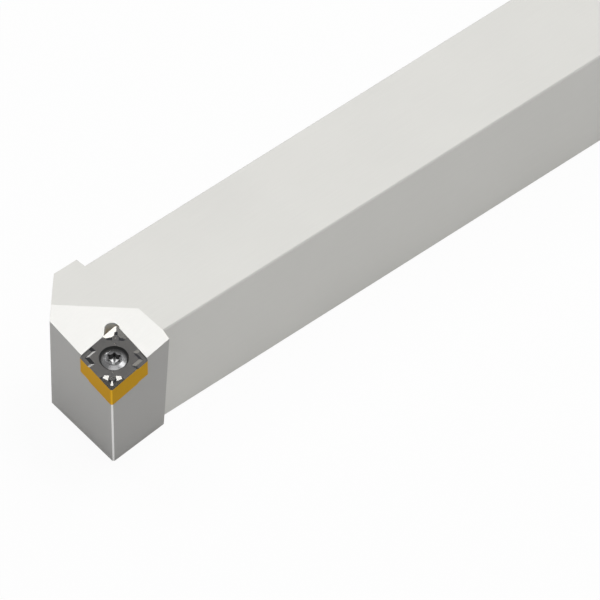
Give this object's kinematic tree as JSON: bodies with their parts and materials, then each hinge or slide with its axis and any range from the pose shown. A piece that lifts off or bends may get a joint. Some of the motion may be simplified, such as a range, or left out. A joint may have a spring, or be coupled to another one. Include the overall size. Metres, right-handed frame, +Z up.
{
  "type": "turning tool holder",
  "caption": "Square-shank external turning tool holder with an offset head, a screw-clamped 80 degree rhombic insert and its countersunk clamp screw.",
  "frame": {"origin": "rear wall of the head, on the middle plane of the shank, at the underside", "axes": "+X along the shank from the head to the tail, +Y towards the plain side away from the cutting corner, +Z up from the underside"},
  "size_m": [0.125, 0.0249, 0.0225],
  "materials": {
    "holder_steel": "fine ground satin steel with faint milling marks",
    "coated_carbide": "dark grey coating on the faces, golden coating on the flanks",
    "screw_steel": "polished hardened steel"
  },
  "bodies": {
    "holder": {"tool_holder": "holder_steel", "cutting_insert": "coated_carbide"},
    "screw": {"clamp_screw": "screw_steel"}
  },
  "joints": [
    {"name": "clamp_screw_turn", "type": "hinge", "parent": "holder", "child": "screw", "pos_m": [-0.00956, -0.01016, 0.021], "axis": [-0.104, -0.104, 0.9891], "range_deg": [0, 4176]}
  ]
}
